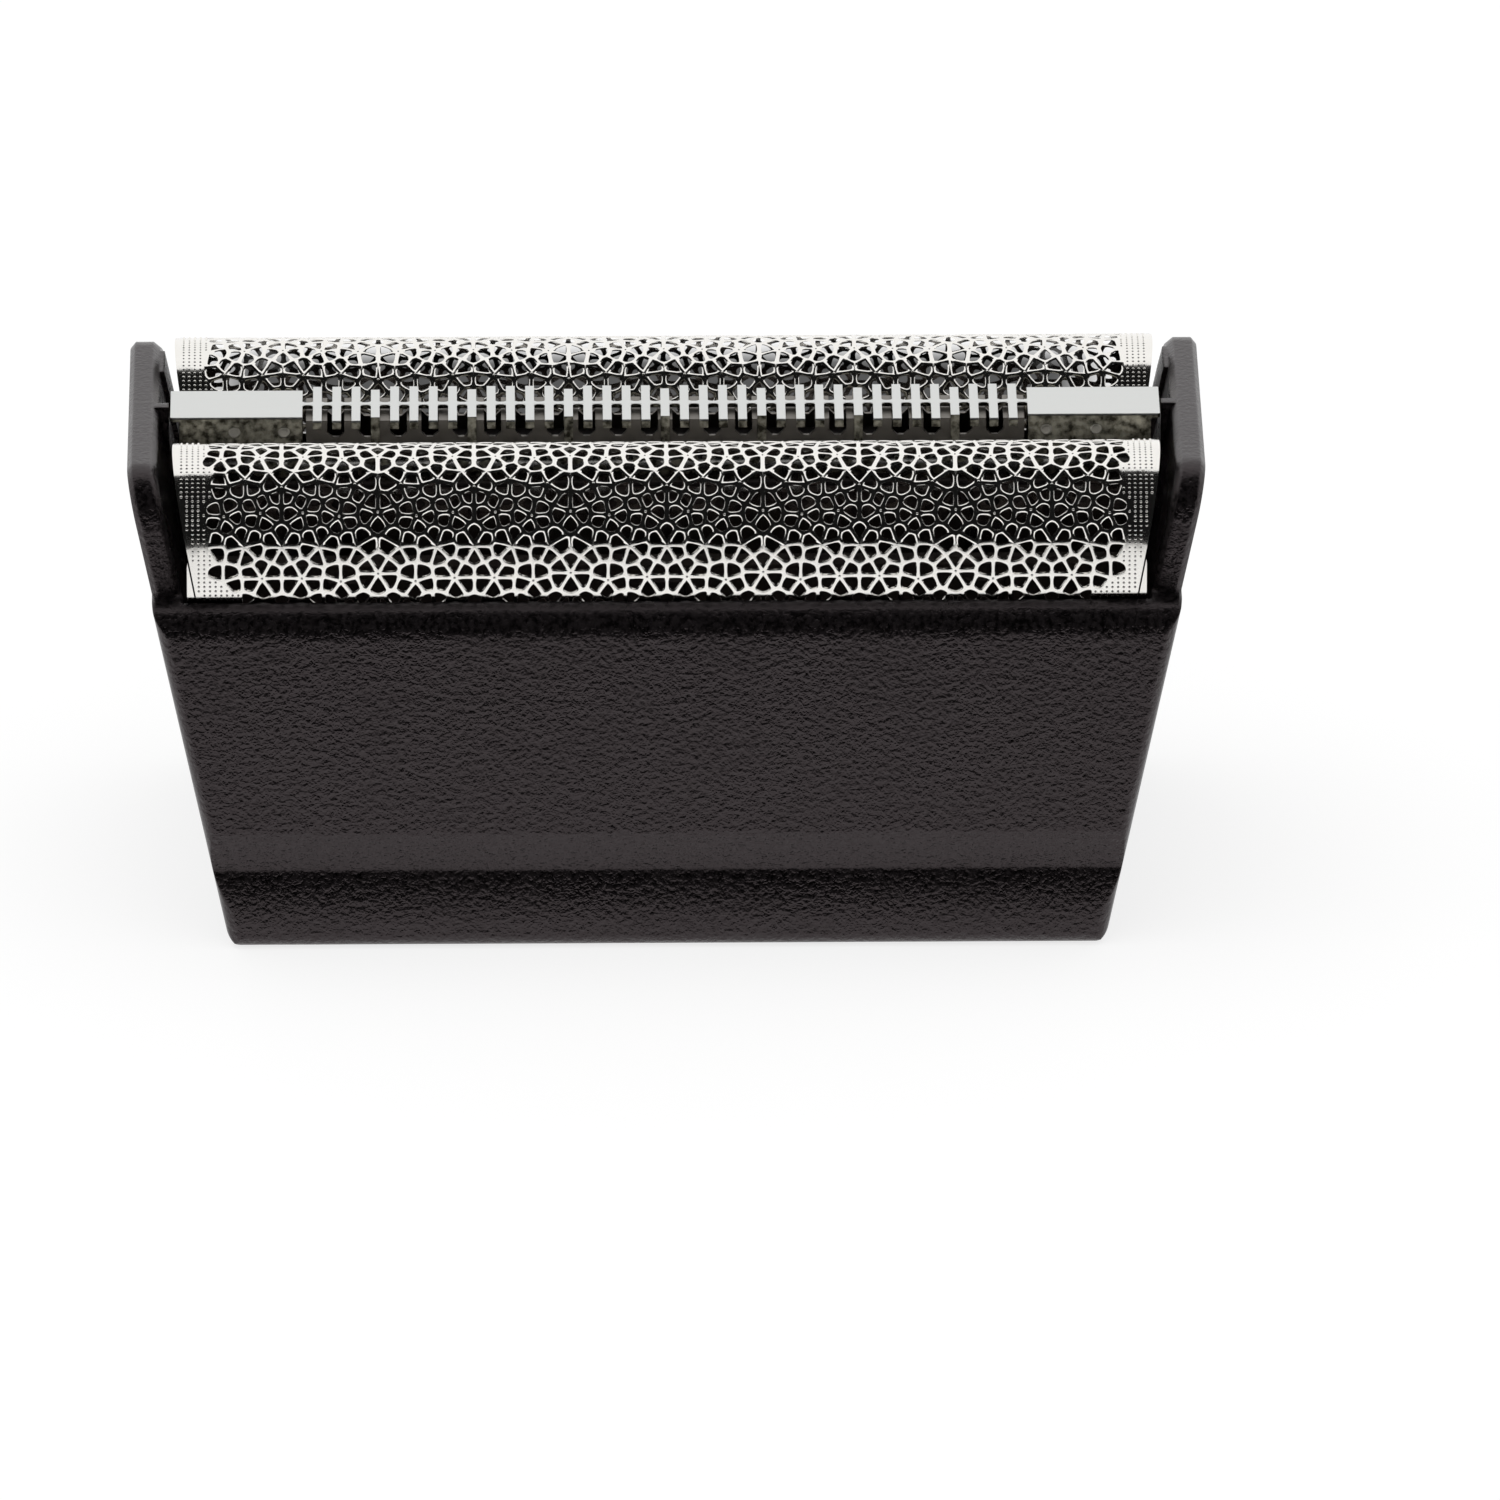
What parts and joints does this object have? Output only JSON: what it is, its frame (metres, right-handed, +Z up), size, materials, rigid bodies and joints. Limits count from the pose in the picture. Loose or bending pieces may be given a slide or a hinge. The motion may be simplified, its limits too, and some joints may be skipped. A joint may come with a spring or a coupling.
{
  "type": "shaver foil head",
  "caption": "Clip-on foil head for an electric shaver: black moulded frame with arched perforated foils and a sprung slotted trimmer between them.",
  "frame": {"origin": "centre of the bounding box on the plane of the bottom rim", "axes": "+X along the foils, -Y to the front wall, +Z up through the foils"},
  "size_m": [0.0606, 0.0278, 0.028],
  "materials": {
    "frame_plastic": "black, fine spark-eroded grain on the long walls, smoother on the ears",
    "foil_nickel": "bright electroformed nickel",
    "strip_plastic": "black, plain moulded",
    "bridge_plastic": "black, plain moulded",
    "comb_steel": "satin ground",
    "blade_steel": "ground",
    "driver_plastic": "black, plain moulded",
    "spring_steel": "plain drawn",
    "carrier_plastic": "black, plain moulded"
  },
  "bodies": {
    "frame": {"outer_frame": "frame_plastic", "front_foil": "foil_nickel", "rear_foil": "foil_nickel", "front_outer_strip": "strip_plastic", "front_inner_strip": "strip_plastic", "rear_inner_strip": "strip_plastic", "rear_outer_strip": "strip_plastic", "trimmer_bridge": "bridge_plastic", "left_coil_spring": "spring_steel", "right_coil_spring": "spring_steel"},
    "trimmer": {"trimmer_comb": "comb_steel", "trimmer_carrier": "carrier_plastic", "blade_leaf_spring": "spring_steel"},
    "blade": {"trimmer_blade": "blade_steel", "blade_driver": "driver_plastic"}
  },
  "joints": [
    {"name": "trimmer_float", "type": "slide", "parent": "frame", "child": "trimmer", "axis": [0, 0, 1], "range_m": [-0.0015, 0], "stiffness_N_per_m": 300, "springref_m": 0.001, "deforming": ["left_coil_spring", "right_coil_spring"]},
    {"name": "blade_slide", "type": "slide", "parent": "trimmer", "child": "blade", "axis": [1, 0, 0], "range_m": [-0.001, 0.001]}
  ]
}
